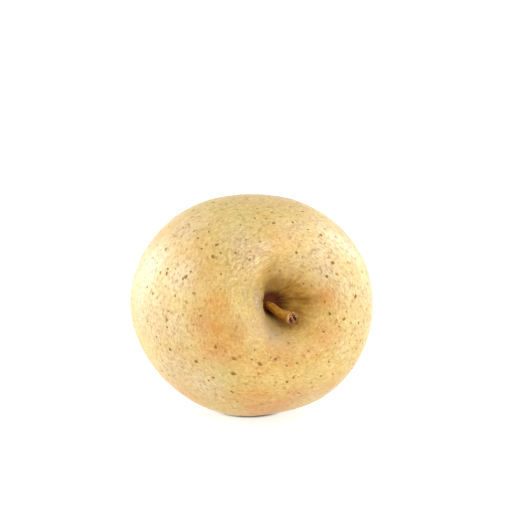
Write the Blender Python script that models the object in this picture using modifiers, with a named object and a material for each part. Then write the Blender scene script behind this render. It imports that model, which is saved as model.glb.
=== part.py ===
"""A large russet apple lying on its cheek, stem end to the front and a little raised.

Three pieces: the fruit, its woody stem and the dried calyx. Each is modelled upright in the
fruit's own frame, with the stem end at +Z, and an empty lays them all down together. The
world's origin is the centre of the small flat spot that the apple rests on.
"""

import math

import bmesh
import bpy
import numpy as np
from mathutils import Matrix, Vector

# Driving dimensions, in metres and degrees
MEAN_RADIUS = 0.0404
STEM_CREST_HEIGHT = 0.0332
STEM_CAVITY_DEPTH = 0.0185
CALYX_CREST_DEPTH = 0.0346
CALYX_BASIN_DEPTH = 0.0076
RAISED_AXIS_DEG = 7.5
FLAT_SPOT_DEPTH = 0.0006
CLEARANCE = 0.0003

# How finely the round pieces are divided, and from which angle an edge is shaded sharp
FRUIT_SEGMENTS = 84
FRUIT_RINGS = 54
TUBE_SIDES = 24
CORE_SIDES = 14
STEM_SOCKET_SIDES = 20
SHARP_EDGE_DEG = 40

# The half profile from the stem cavity to the calyx basin, as (share of the mean radius,
# share of the depth or height that the name gives). The stem cavity is a wide shallow funnel
# with a steep throat, and the calyx basin is a plain bowl.
SHARES_UP_STEM_CAVITY = (
    (0.064, 0.05),
    (0.106, 0.23),
    (0.141, 0.405),
    (0.176, 0.575),
    (0.223, 0.715),
    (0.312, 0.86),
    (0.408, 0.957),
)
SHARES_OF_STEM_CREST = ((0.507, 1.0), (0.746, 0.862), (0.955, 0.40), (1.0, 0.045))
SHARES_OF_CALYX_CREST = ((0.903, 0.52), (0.61, 0.93), (0.44, 1.0))
SHARES_DOWN_CALYX_BASIN = ((0.24, 0.40), (0.11, 0.90))

# The cross-section: an oval, with broad ribs at (degrees, height, half-width in degrees).
# Angles start at the fruit's right and turn towards its top as it lies. Heights are shares
# of the radius. The two strong ribs are those that the apple lies on.
OVAL_SHARE = 0.0523
OVAL_AXIS_DEG = -7.5
RIB_HALF_WIDTH_DEG = 24.0
RIBS = ((249.1, 0.0429), (305.1, 0.0379), (26.0, 0.0095), (91.4, -0.0123), (153.0, -0.0103))
RIBS_FULL_AT_RADIUS = 0.030

# The throat of the stem cavity is pushed to one side, so that its other side is the steeper.
# Its place and width are shares of the mean radius.
THROAT_SHIFT = 0.20
THROAT_SHIFT_DEG = -38.0
THROAT_AT = 0.14
THROAT_WIDTH = 0.10

# One stem shoulder is the higher one, and five low lobes crown the calyx end. Both stand on
# the crests, whose place and width are shares of the mean radius.
CREST_AT = 0.50
CREST_WIDTH = 0.25
SHOULDER_RISE = 0.0007
SHOULDER_RISE_DEG = 150.0
CROWN_LOBES = 5
CROWN_LOBE_HEIGHT = 0.0008
CROWN_LOBE_DEG = 20.0

# The stem: its root a little below the axis, its lean towards the lower right wall of the
# cavity, and its girth. It swells by shares of its middle radius, from a slim root to a knob.
STEM_ROOT_DROP = 0.0009
STEM_ROOT_SUNK = 0.0022
STEM_LENGTH = 0.0156
STEM_LEAN_SIDE = 0.0028
STEM_LEAN_DOWN = 0.0044
STEM_MID_RADIUS = 0.0019
STEM_ROOT_SLIMMING = 0.10
STEM_KNOB_SWELL = 0.30
STEM_SECTIONS = 14
STEM_SOCKET_GAP = 0.0006
STEM_SOCKET_RISE = 0.0030

# The calyx: a short tube sunk in the basin floor, five dried sepals and the stamens' core.
# A sepal's root stands at a radius from the axis, and its tip leans further out. No two are
# alike: their lengths and turns are uneven, by a share and in radians.
CALYX_TUBE_RADIUS = 0.0031
CALYX_TUBE_SUNK = 0.0020
CALYX_TUBE_PROUD = 0.0009
CALYX_SOCKET_RISE = 0.0015
SEPAL_COUNT = 5
SEPAL_LENGTH = 0.0072
SEPAL_HALF_WIDTH = 0.0019
SEPAL_THICKNESS = 0.0006
SEPAL_ROOT_RADIUS = 0.0022
SEPAL_ROOT_SUNK = 0.0004
SEPAL_LEAN_OUT = 0.0050
SEPAL_EDGE_ROLL = 0.0004
SEPAL_UNEVEN_LENGTH = 0.09
SEPAL_UNEVEN_TURN = 0.07
STAMEN_CORE_RADIUS = 0.0012
STAMEN_CORE_HEIGHT = 0.0028


def clear_scene():
    for obj in list(bpy.data.objects):
        bpy.data.objects.remove(obj)


def new_collection(name, hidden=False):
    collection = bpy.data.collections.new(name)
    collection.hide_render = hidden
    bpy.context.scene.collection.children.link(collection)
    return collection


def new_material(name, colour, roughness):
    material = bpy.data.materials.new(name)
    material.use_nodes = True
    shader = material.node_tree.nodes["Principled BSDF"]
    shader.inputs["Base Color"].default_value = (*colour, 1.0)
    shader.inputs["Roughness"].default_value = roughness
    shader.inputs["Metallic"].default_value = 0.0
    return material


def new_object(name, mesh, collection):
    obj = bpy.data.objects.new(name, mesh)
    collection.objects.link(obj)
    return obj


def evaluated_mesh(obj):
    """The object's mesh with its modifiers applied."""
    graph = bpy.context.evaluated_depsgraph_get()
    return bpy.data.meshes.new_from_object(obj.evaluated_get(graph))


def stem_floor():
    """The height of the stem cavity's floor in the fruit's own frame."""
    return STEM_CREST_HEIGHT - STEM_CAVITY_DEPTH


def basin_floor():
    """The height of the calyx basin's floor in the fruit's own frame."""
    return CALYX_BASIN_DEPTH - CALYX_CREST_DEPTH


def half_profile():
    """(radius, height) from the floor of the stem cavity over the cheek to the floor of the
    calyx basin, as the points that the outline needs."""
    cavity = [(r, stem_floor() + share * STEM_CAVITY_DEPTH) for r, share in SHARES_UP_STEM_CAVITY]
    upper = [(r, share * STEM_CREST_HEIGHT) for r, share in SHARES_OF_STEM_CREST]
    lower = [(r, -share * CALYX_CREST_DEPTH) for r, share in SHARES_OF_CALYX_CREST]
    basin = [
        (r, share * CALYX_BASIN_DEPTH - CALYX_CREST_DEPTH) for r, share in SHARES_DOWN_CALYX_BASIN
    ]
    ends = [(0.0, stem_floor())], [(0.0, basin_floor())]
    return np.array(ends[0] + cavity + upper + lower + basin + ends[1]) * (MEAN_RADIUS, 1)


def smooth_through(points, count):
    """A centripetal Catmull-Rom curve through the points, evenly sampled in its parameter.
    The end tangents are level, so that the surface is smooth where it meets the axis."""
    before, after = points[1] * (-1, 1), points[-2] * (-1, 1)
    ring = np.vstack((before, points, after))
    knots = np.concatenate(((0.0,), np.cumsum(np.sqrt(np.hypot(*(ring[1:] - ring[:-1]).T)))))
    t = np.linspace(knots[1], knots[-2], count)
    i = np.clip(np.searchsorted(knots, t, side="right") - 1, 1, len(points) - 1)
    p = [ring[i + k] for k in (-1, 0, 1, 2)]
    u = [knots[i + k][:, None] for k in (-1, 0, 1, 2)]
    t = t[:, None]

    def between(a, b, low, high):
        return ((high - t) * a + (t - low) * b) / (high - low)

    a = [between(p[k], p[k + 1], u[k], u[k + 1]) for k in range(3)]
    b = [between(a[k], a[k + 1], u[k], u[k + 2]) for k in range(2)]
    curve = between(b[0], b[1], u[1], u[2])
    curve[[0, -1], 0] = 0.0
    return curve


def turn_from(angle, centre_deg):
    """The angle from a direction in degrees, in radians between minus and plus half a turn."""
    return (angle - math.radians(centre_deg) + math.pi) % (2 * math.pi) - math.pi


def shape_fruit(points):
    """Turns the round body into this apple's own form. The radius grows by an oval and by
    broad ribs, both fading towards the axis, and the throat of the stem cavity is wider on
    one side. One stem shoulder stands higher than the other, and the rim of the calyx basin
    rises and falls in five low lobes."""
    x, y, z = points.T
    radius, angle = np.hypot(x, y), np.arctan2(y, x)
    swell = OVAL_SHARE * np.cos(2 * turn_from(angle, OVAL_AXIS_DEG))
    for direction, height in RIBS:
        across = turn_from(angle, direction) / math.radians(RIB_HALF_WIDTH_DEG)
        swell = swell + height * np.exp(-across**2)
    swell = swell * np.clip(radius / RIBS_FULL_AT_RADIUS, 0, 1) ** 1.5
    throat = np.exp(-((radius / MEAN_RADIUS - THROAT_AT) / THROAT_WIDTH) ** 2) * (z > 0)
    swell = swell + THROAT_SHIFT * np.cos(turn_from(angle, THROAT_SHIFT_DEG)) * throat
    crest = np.exp(-((radius / MEAN_RADIUS - CREST_AT) / CREST_WIDTH) ** 2)
    shoulder = SHOULDER_RISE * np.cos(turn_from(angle, SHOULDER_RISE_DEG)) * crest
    crown = CROWN_LOBE_HEIGHT * np.cos(CROWN_LOBES * turn_from(angle, CROWN_LOBE_DEG)) * crest
    rise = np.where(z > 0, shoulder, -crown)
    return np.stack((x * (1 + swell), y * (1 + swell), z + rise), axis=1)


def resting_turn():
    """The turn that lays the upright apple down: stem end to the front, then raised."""
    lay_down = Matrix.Rotation(math.radians(90), 4, "X")
    raise_front = Matrix.Rotation(math.radians(-RAISED_AXIS_DEG), 4, "X")
    return raise_front @ lay_down


def build_fruit(collection, material):
    """The one-piece fruit, and the centre of its flat spot in the fruit's own frame."""
    curve = smooth_through(half_profile(), FRUIT_RINGS)
    outline = bpy.data.meshes.new("half_profile")
    corners = [(radius, 0.0, height) for radius, height in curve]
    outline.from_pydata(corners, [(k, k + 1) for k in range(len(corners) - 1)], [])
    turned = new_object("turned_profile", outline, collection)
    screw = turned.modifiers.new("Screw", "SCREW")
    screw.axis = "Z"
    screw.angle = 2 * math.pi
    screw.steps = screw.render_steps = FRUIT_SEGMENTS
    screw.use_merge_vertices = True
    screw.merge_threshold = 1e-5
    mesh = evaluated_mesh(turned)
    bpy.data.objects.remove(turned)
    mesh.name = "fruit"

    points = np.empty(len(mesh.vertices) * 3, np.float32)
    mesh.vertices.foreach_get("co", points)
    shaped = shape_fruit(points.reshape(-1, 3).astype(float))
    mesh.vertices.foreach_set("co", shaped.astype(np.float32).ravel())

    down = resting_turn().inverted().to_3x3() @ Vector((0, 0, -1))
    lowest = (shaped @ np.array(down)).max()
    work = bmesh.new()
    work.from_mesh(mesh)
    geometry = work.verts[:] + work.edges[:] + work.faces[:]
    cut = bmesh.ops.bisect_plane(
        work,
        geom=geometry,
        plane_co=down * (lowest - FLAT_SPOT_DEPTH),
        plane_no=down,
        clear_outer=True,
    )
    rim = [item for item in cut["geom_cut"] if isinstance(item, bmesh.types.BMEdge)]
    flat = bmesh.ops.contextual_create(work, geom=rim)["faces"][0]
    centre = flat.calc_center_bounds()
    bmesh.ops.recalc_face_normals(work, faces=work.faces[:])
    work.to_mesh(mesh)
    work.free()

    mesh.shade_smooth()
    mesh.set_sharp_from_angle(angle=math.radians(SHARP_EDGE_DEG))
    fruit = new_object("fruit", mesh, collection)
    fruit.data.materials.append(material)
    return fruit, centre


def stem_path():
    """Points and girths of the stem: it stands straight in its socket, then leans towards the
    lower right, quickly at first. It swells from a slim root to the knob where it parted from
    the branch."""
    share = np.linspace(0, 1, STEM_SECTIONS)
    z = stem_floor() - STEM_ROOT_SUNK + (STEM_ROOT_SUNK + STEM_LENGTH) * share
    free = np.clip((z - stem_floor()) / STEM_LENGTH, 0, 1)
    x = STEM_LEAN_SIDE * free**1.2
    y = -STEM_ROOT_DROP - STEM_LEAN_DOWN * np.sin(free * math.pi / 2) ** 1.4
    root = STEM_ROOT_SLIMMING * np.exp(-((share / 0.25) ** 2))
    knob = STEM_KNOB_SWELL * np.exp(-(((share - 0.97) / 0.16) ** 2))
    return np.stack((x, y, z), axis=1), STEM_MID_RADIUS * (1 - root + knob)


def build_stem(collection, material):
    path, girths = stem_path()
    curve = bpy.data.curves.new("stem", "CURVE")
    curve.dimensions = "3D"
    curve.bevel_depth = 1.0
    curve.bevel_resolution = 4
    curve.use_fill_caps = True
    spline = curve.splines.new("POLY")
    spline.points.add(len(path) - 1)
    for point, place, girth in zip(spline.points, path, girths):
        point.co = (*place, 1.0)
        point.radius = girth
    tube = new_object("stem_curve", curve, collection)
    mesh = evaluated_mesh(tube)
    bpy.data.objects.remove(tube)

    work = bmesh.new()
    work.from_mesh(mesh)
    bmesh.ops.remove_doubles(work, verts=work.verts[:], dist=1e-6)
    bmesh.ops.recalc_face_normals(work, faces=work.faces[:])
    work.to_mesh(mesh)
    work.free()
    mesh.name = "stem"
    mesh.shade_smooth()
    mesh.set_sharp_from_angle(angle=math.radians(SHARP_EDGE_DEG))
    stem = new_object("stem", mesh, collection)
    stem.data.materials.append(material)
    return stem


def build_sepal(index, collection):
    """One dried sepal: a pointed blade that stands up from the tube and curls outwards. Its
    middle line leans out as a quarter wave, its edges roll a little inwards, and its width
    swells from the root and then runs out to the tip."""
    across_count, along_count = 4, 9
    across, along = np.meshgrid(
        np.linspace(-1, 1, across_count + 1), np.linspace(0, 1, along_count + 1), indexing="ij"
    )
    taper = (0.52 + 1.3 * along) * (1 - along**1.5) + 0.09
    side = SEPAL_HALF_WIDTH * taper * across
    roll = SEPAL_EDGE_ROLL * across**2 * taper
    lean = SEPAL_ROOT_RADIUS + SEPAL_LEAN_OUT * (1 - np.cos(along * math.pi / 2)) - roll
    length = SEPAL_LENGTH * (1 + SEPAL_UNEVEN_LENGTH * math.cos(2.1 * index))
    rise = length * 0.62 * np.sin(along * math.pi * 0.55)
    uneven = SEPAL_UNEVEN_TURN * math.sin(1.9 * index + 0.5)
    turn = 2 * math.pi * index / SEPAL_COUNT + uneven
    x = lean * math.cos(turn) - side * math.sin(turn)
    y = lean * math.sin(turn) + side * math.cos(turn)
    z = basin_floor() + SEPAL_ROOT_SUNK - rise
    corners = np.stack((x, y, z), axis=-1).reshape(-1, 3)
    row = along_count + 1
    faces = [
        (i * row + j, i * row + j + 1, (i + 1) * row + j + 1, (i + 1) * row + j)
        for i in range(across_count)
        for j in range(along_count)
    ]
    mesh = bpy.data.meshes.new(f"sepal_{index}")
    mesh.from_pydata(corners.tolist(), [], faces)
    blade = new_object(f"sepal_{index}", mesh, collection)
    solidify = blade.modifiers.new("Solidify", "SOLIDIFY")
    solidify.thickness = SEPAL_THICKNESS
    solidify.offset = 0.0
    return blade


def cone_between(name, low, high, low_radius, high_radius, sides, collection):
    """An upright cone or cylinder on the axis, from one height to a higher one."""
    mesh = bpy.data.meshes.new(name)
    work = bmesh.new()
    bmesh.ops.create_cone(
        work,
        cap_ends=True,
        segments=sides,
        radius1=low_radius,
        radius2=high_radius,
        depth=high - low,
        matrix=Matrix.Translation((0, 0, (low + high) / 2)),
    )
    work.to_mesh(mesh)
    work.free()
    return new_object(name, mesh, collection)


def build_calyx(collection, cutters, material):
    """The tube, the stamens' core and the five sepals, joined in one solid."""
    floor = basin_floor()
    tube = cone_between(
        "calyx",
        floor - CALYX_TUBE_PROUD,
        floor + CALYX_TUBE_SUNK,
        CALYX_TUBE_RADIUS,
        CALYX_TUBE_RADIUS,
        TUBE_SIDES,
        collection,
    )
    joined = bpy.data.collections.new("calyx_pieces")
    cutters.children.link(joined)
    cone_between(
        "stamen_core",
        floor - CALYX_TUBE_PROUD - STAMEN_CORE_HEIGHT,
        floor,
        0.5 * STAMEN_CORE_RADIUS,
        STAMEN_CORE_RADIUS,
        CORE_SIDES,
        joined,
    )
    for index in range(SEPAL_COUNT):
        build_sepal(index, joined)
    union = tube.modifiers.new("Join", "BOOLEAN")
    union.operation = "UNION"
    union.operand_type = "COLLECTION"
    union.collection = joined
    mesh = evaluated_mesh(tube)
    tube.modifiers.clear()
    tube.data = mesh
    for piece in list(joined.objects):
        bpy.data.objects.remove(piece)
    bpy.data.collections.remove(joined)
    tube.data.materials.clear()
    tube.data.materials.append(material)
    tube.data.shade_smooth()
    tube.data.set_sharp_from_angle(angle=math.radians(SHARP_EDGE_DEG))
    return tube


def cut_socket(fruit, cutter):
    """A plain hole in the fruit, for the root of the stem or the tube of the calyx."""
    cutter.hide_render = True
    cutter.display_type = "WIRE"
    hole = fruit.modifiers.new(cutter.name, "BOOLEAN")
    hole.operation = "DIFFERENCE"
    hole.object = cutter


def main():
    clear_scene()
    apple = new_collection("russet_apple")
    cutters = new_collection("cutters", hidden=True)
    skin = new_material("russet_skin", (0.78, 0.53, 0.22), 0.55)
    wood = new_material("stem_wood", (0.30, 0.15, 0.05), 0.7)
    dry = new_material("dried_sepal", (0.20, 0.13, 0.07), 0.85)

    fruit, flat_centre = build_fruit(apple, skin)
    stem = build_stem(apple, wood)
    calyx = build_calyx(apple, cutters, dry)

    _, girths = stem_path()
    root = stem_floor() - STEM_ROOT_SUNK
    stem_hole = cone_between(
        "stem_socket",
        root - CLEARANCE,
        stem_floor() + STEM_SOCKET_RISE,
        girths[0] + STEM_SOCKET_GAP,
        girths[0] + STEM_SOCKET_GAP,
        STEM_SOCKET_SIDES,
        cutters,
    )
    stem_hole.location.y = -STEM_ROOT_DROP
    calyx_hole = cone_between(
        "calyx_socket",
        basin_floor() - CALYX_SOCKET_RISE,
        basin_floor() + CALYX_TUBE_SUNK + CLEARANCE,
        CALYX_TUBE_RADIUS + CLEARANCE,
        CALYX_TUBE_RADIUS + CLEARANCE,
        TUBE_SIDES,
        cutters,
    )
    cut_socket(fruit, stem_hole)
    cut_socket(fruit, calyx_hole)

    lying = bpy.data.objects.new("lying_apple", None)
    apple.objects.link(lying)
    turn = resting_turn()
    lying.matrix_world = Matrix.Translation(-(turn @ flat_centre)) @ turn
    for piece in (fruit, stem, calyx, stem_hole, calyx_hole):
        piece.parent = lying


main()
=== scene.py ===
"""A large russet apple, lying on its cheek in soft studio light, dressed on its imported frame.

The skin, the lenticels, the stem and the dried calyx are surfaces worked out with numpy in the
fruit's own frame: millimetres, the stem end at +Z, and +Y towards its top as it lies. One
function, lie_down, then takes them to the frame's metres. Angles round the fruit start at its
right, as it is seen from the stem end, and turn towards its top. The way along the fruit is
measured over the skin, from the floor of the stem cavity to the floor of the calyx basin.
"""

import math

import bpy
import numpy as np
from mathutils import Matrix, Vector


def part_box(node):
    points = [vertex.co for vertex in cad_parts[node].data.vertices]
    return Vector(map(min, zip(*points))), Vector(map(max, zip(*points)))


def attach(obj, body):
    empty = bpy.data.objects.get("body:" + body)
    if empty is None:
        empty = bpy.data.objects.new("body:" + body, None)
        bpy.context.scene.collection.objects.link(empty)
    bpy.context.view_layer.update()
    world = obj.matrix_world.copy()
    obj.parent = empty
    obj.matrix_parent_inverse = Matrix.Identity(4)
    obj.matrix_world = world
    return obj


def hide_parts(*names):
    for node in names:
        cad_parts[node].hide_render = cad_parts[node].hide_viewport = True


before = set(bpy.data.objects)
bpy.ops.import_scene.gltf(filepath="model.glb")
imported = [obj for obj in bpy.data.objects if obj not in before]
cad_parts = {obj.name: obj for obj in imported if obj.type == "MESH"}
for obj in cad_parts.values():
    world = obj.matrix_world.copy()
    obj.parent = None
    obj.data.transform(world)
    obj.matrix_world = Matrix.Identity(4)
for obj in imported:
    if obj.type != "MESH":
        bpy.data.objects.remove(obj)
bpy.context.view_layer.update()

MM_IN_METRE = 1000

# The fruit's form, as in the part: millimetres, degrees, and shares of the mean radius
MEAN_RADIUS = 40.4
STEM_CREST_HEIGHT = 33.2
STEM_CAVITY_DEPTH = 18.5
CALYX_CREST_DEPTH = 34.6
CALYX_BASIN_DEPTH = 7.6
RAISED_AXIS_DEG = 7.5
FLAT_SPOT_DEPTH = 0.6
SHARES_UP_STEM_CAVITY = (
    (0.064, 0.05),
    (0.106, 0.23),
    (0.141, 0.405),
    (0.176, 0.575),
    (0.223, 0.715),
    (0.312, 0.86),
    (0.408, 0.957),
)
SHARES_OF_STEM_CREST = ((0.507, 1.0), (0.746, 0.862), (0.955, 0.40), (1.0, 0.045))
SHARES_OF_CALYX_CREST = ((0.903, 0.52), (0.61, 0.93), (0.44, 1.0))
SHARES_DOWN_CALYX_BASIN = ((0.24, 0.40), (0.11, 0.90))
OVAL_SHARE = 0.0523
OVAL_AXIS_DEG = -7.5
RIB_HALF_WIDTH_DEG = 24.0
RIBS = ((249.1, 0.0429), (305.1, 0.0379), (26.0, 0.0095), (91.4, -0.0123), (153.0, -0.0103))
RIBS_FULL_AT_RADIUS = 30.0
RIB_FADE_POWER = 1.5
THROAT_SHIFT = 0.20
THROAT_SHIFT_DEG = -38.0
THROAT_AT = 0.14
THROAT_WIDTH = 0.10
CREST_AT = 0.50
CREST_WIDTH = 0.25
SHOULDER_RISE = 0.7
SHOULDER_RISE_DEG = 150.0
CROWN_LOBES = 5
CROWN_LOBE_HEIGHT = 0.8
CROWN_LOBE_DEG = 20.0

# The stem, as in the part
STEM_ROOT_DROP = 0.9
STEM_ROOT_SUNK = 2.2
STEM_LENGTH = 15.6
STEM_LEAN_SIDE = 2.8
STEM_LEAN_DOWN = 4.4
STEM_MID_RADIUS = 1.9
STEM_ROOT_SLIMMING = 0.10
STEM_KNOB_SWELL = 0.30

# The photograph's view of the apple, found from its outline: the camera's direction and
# distance, the real size of a pixel there, and the pixel where the fruit's axis crosses
# the upright line that is 38 mm up
VIEW_AZIMUTH_DEG = -23.0
VIEW_ELEVATION_DEG = 7.2
VIEW_DISTANCE = 0.52
PICTURE_PIXELS = 512
PIXEL_SIZE = 0.349e-3
AXIS_PIXEL = (250.99, 303.94)
AXIS_HEIGHT = 0.038
SENSOR_WIDTH = 36.0
NEAREST_SEEN = 0.01

# The cells after which a noise repeats, and the least length that a vector is divided by
LATTICE_CELLS = 32
LEAST_LENGTH = 1e-12


def linear(red, green, blue):
    """A colour given as screen values from 0 to 255, as the linear values that shaders use."""
    share = np.array((red, green, blue)) / 255
    low = share / 12.92
    high = ((share + 0.055) / 1.055) ** 2.4
    return (*np.where(share < 0.04045, low, high).tolist(), 1.0)


def smooth_step(low, high, value):
    """0 below low, 1 above high, and 3t^2 - 2t^3 between them. It falls where low is above
    high."""
    share = np.clip((value - low) / (high - low), 0, 1)
    return share * share * (3 - 2 * share)


def turn_from(angle, centre_deg):
    """The angle from a direction in degrees, in radians between minus and plus half a turn."""
    return (angle - math.radians(centre_deg) + math.pi) % (2 * math.pi) - math.pi


def soft_noise(points, size, seed):
    """Smooth random hills from -1 to 1: random heights on a lattice `size` apart, which repeats
    after some cells, blended between the eight nearest corners by a smooth step."""
    lattice = np.random.default_rng(seed).uniform(-1, 1, (LATTICE_CELLS,) * 3)
    place = np.asarray(points) / size
    cell = np.floor(place).astype(int)
    part = smooth_step(0, 1, place - cell)
    total = np.zeros(part.shape[:-1])
    for corner in np.ndindex(2, 2, 2):
        weight = np.prod(np.where(corner, part, 1 - part), axis=-1)
        x, y, z = np.moveaxis((cell + corner) % LATTICE_CELLS, -1, 0)
        total = total + weight * lattice[x, y, z]
    return total


def noise_sum(points, layers):
    """Layers of soft noise on each other, each given by its height, size and seed."""
    return sum(height * soft_noise(points, size, seed) for height, size, seed in layers)


def unit(vectors):
    """The same directions with length 1."""
    length = np.linalg.norm(vectors, axis=-1, keepdims=True)
    return vectors / np.maximum(length, LEAST_LENGTH)


def round_turn(count):
    """Angles evenly round a ring, in radians."""
    return np.linspace(0, 2 * math.pi, count, endpoint=False)


def stacked(*parts):
    """The parts, spread to one shape, as the last axis of an array."""
    return np.stack(np.broadcast_arrays(*parts), axis=-1)


def round_axis(angle, radius, height):
    """Points at an angle and a distance round the axis, and at a height along it."""
    return stacked(radius * np.cos(angle), radius * np.sin(angle), height)


# The fruit's form


def stem_floor():
    """Height of the stem cavity's floor."""
    return STEM_CREST_HEIGHT - STEM_CAVITY_DEPTH


def basin_floor():
    """Height of the calyx basin's floor."""
    return CALYX_BASIN_DEPTH - CALYX_CREST_DEPTH


def half_profile():
    """(radius, height) from the floor of the stem cavity over the cheek to the floor of the
    calyx basin, as the points that the outline needs."""
    cavity = [(r, stem_floor() + share * STEM_CAVITY_DEPTH) for r, share in SHARES_UP_STEM_CAVITY]
    upper = [(r, share * STEM_CREST_HEIGHT) for r, share in SHARES_OF_STEM_CREST]
    lower = [(r, -share * CALYX_CREST_DEPTH) for r, share in SHARES_OF_CALYX_CREST]
    basin = [
        (r, share * CALYX_BASIN_DEPTH - CALYX_CREST_DEPTH) for r, share in SHARES_DOWN_CALYX_BASIN
    ]
    points = [(0.0, stem_floor()), *cavity, *upper, *lower, *basin, (0.0, basin_floor())]
    return np.array(points) * (MEAN_RADIUS, 1)


def smooth_through(points, count):
    """A centripetal Catmull-Rom curve through the points, evenly sampled in its parameter.
    The end tangents are level, so that the surface is smooth where it meets the axis."""
    before = points[1] * (-1, 1)
    after = points[-2] * (-1, 1)
    ring = np.vstack((before, points, after))
    knots = np.concatenate(((0.0,), np.cumsum(np.sqrt(np.hypot(*(ring[1:] - ring[:-1]).T)))))
    t = np.linspace(knots[1], knots[-2], count)
    i = np.clip(np.searchsorted(knots, t, side="right") - 1, 1, len(points) - 1)
    p = [ring[i + k] for k in (-1, 0, 1, 2)]
    u = [knots[i + k][:, None] for k in (-1, 0, 1, 2)]
    t = t[:, None]

    def between(a, b, low, high):
        return ((high - t) * a + (t - low) * b) / (high - low)

    a = [between(p[k], p[k + 1], u[k], u[k + 1]) for k in range(3)]
    b = [between(a[k], a[k + 1], u[k], u[k + 2]) for k in range(2)]
    curve = between(b[0], b[1], u[1], u[2])
    curve[[0, -1], 0] = 0.0
    return curve


PROFILE_POINTS = 4000
PROFILE = smooth_through(half_profile(), PROFILE_POINTS)
PROFILE_WAY = np.concatenate(((0.0,), np.cumsum(np.hypot(*(PROFILE[1:] - PROFILE[:-1]).T))))
WHOLE_WAY = PROFILE_WAY[-1]


def fruit_form(angle, way):
    """The point of the fruit at an angle round it and a way along it. The half profile is
    turned about the axis. Its radius then grows by an oval and by broad ribs, which fade
    towards the axis, and by the shift of the throat, and its height by the raised shoulder
    and by the five low lobes of the crown."""
    radius = np.interp(way, PROFILE_WAY, PROFILE[:, 0])
    height = np.interp(way, PROFILE_WAY, PROFILE[:, 1])
    swell = OVAL_SHARE * np.cos(2 * turn_from(angle, OVAL_AXIS_DEG))
    for direction, rise in RIBS:
        across = turn_from(angle, direction) / math.radians(RIB_HALF_WIDTH_DEG)
        swell = swell + rise * np.exp(-(across**2))
    swell = swell * np.clip(radius / RIBS_FULL_AT_RADIUS, 0, 1) ** RIB_FADE_POWER
    throat = np.exp(-(((radius / MEAN_RADIUS - THROAT_AT) / THROAT_WIDTH) ** 2)) * (height > 0)
    swell = swell + THROAT_SHIFT * np.cos(turn_from(angle, THROAT_SHIFT_DEG)) * throat
    crest = np.exp(-(((radius / MEAN_RADIUS - CREST_AT) / CREST_WIDTH) ** 2))
    shoulder = SHOULDER_RISE * np.cos(turn_from(angle, SHOULDER_RISE_DEG)) * crest
    crown = CROWN_LOBE_HEIGHT * np.cos(CROWN_LOBES * turn_from(angle, CROWN_LOBE_DEG)) * crest
    lift = np.where(height > 0, shoulder, -crown)
    return round_axis(angle, radius * (1 + swell), height + lift)


def lay_flat(points):
    """Own millimetres turned as the apple lies, before it is set on its flat spot: the stem
    end to the front, then raised."""
    x, y, z = np.moveaxis(np.asarray(points, float), -1, 0)
    raised = math.radians(RAISED_AXIS_DEG)
    back = y * math.sin(raised) - z * math.cos(raised)
    up = y * math.cos(raised) + z * math.sin(raised)
    return stacked(x, back, up)


def resting_shift():
    """What sets the turned fruit on the frame: level with the middle of the CAD fruit's box,
    and down by the depth of the flat spot."""
    angle, way = np.meshgrid(np.linspace(0, 2 * math.pi, 361), np.linspace(0, WHOLE_WAY, 400))
    turned = lay_flat(fruit_form(angle, way)).reshape(-1, 3)
    low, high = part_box("fruit")
    middle = MM_IN_METRE * (np.array(low) + np.array(high)) / 2
    shift = middle - (turned.min(axis=0) + turned.max(axis=0)) / 2
    shift[2] = -turned[:, 2].min() - FLAT_SPOT_DEPTH
    return shift


RESTING_SHIFT = resting_shift()


def lie_down(points):
    """Own millimetres to the frame's metres."""
    return (lay_flat(points) + RESTING_SHIFT) / MM_IN_METRE


# Meshes from grids


def grid_vertices(values):
    """The values of closed tubes, one for each vertex. A grid is (pieces, rows, columns, n):
    each row runs round, and the first and last rows are single points."""
    pieces, _, _, n = values.shape
    rings = values[:, 1:-1].reshape(pieces, -1, n)
    return np.concatenate((values[:, :1, 0], rings, values[:, -1:, 0]), axis=1).reshape(-1, n)


def grid_faces(pieces, rows, columns):
    """Quads between the rings of closed tubes, and triangles round their end points. Seen
    along the tube, the columns turn clockwise, so the faces look outwards."""
    row, column = np.mgrid[0 : rows - 3, 0:columns]
    here = 1 + row * columns + column
    beside = 1 + row * columns + (column + 1) % columns
    quads = stacked(here, beside, beside + columns, here + columns).reshape(-1, 4)
    round_ring = np.arange(columns)
    following = (round_ring + 1) % columns
    last_ring = 1 + (rows - 3) * columns
    last_point = last_ring + columns
    first = stacked(0, 1 + following, 1 + round_ring)
    last = stacked(last_point, last_ring + round_ring, last_ring + following)
    step = (last_point + 1) * np.arange(pieces)[:, None, None]
    triangles = np.concatenate((first, last)) + step
    return (quads + step).reshape(-1, 4), triangles.reshape(-1, 3)


def new_object(name, data):
    """An object of the scene with this data."""
    made = bpy.data.objects.new(name, data)
    bpy.context.scene.collection.objects.link(made)
    return made


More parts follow.
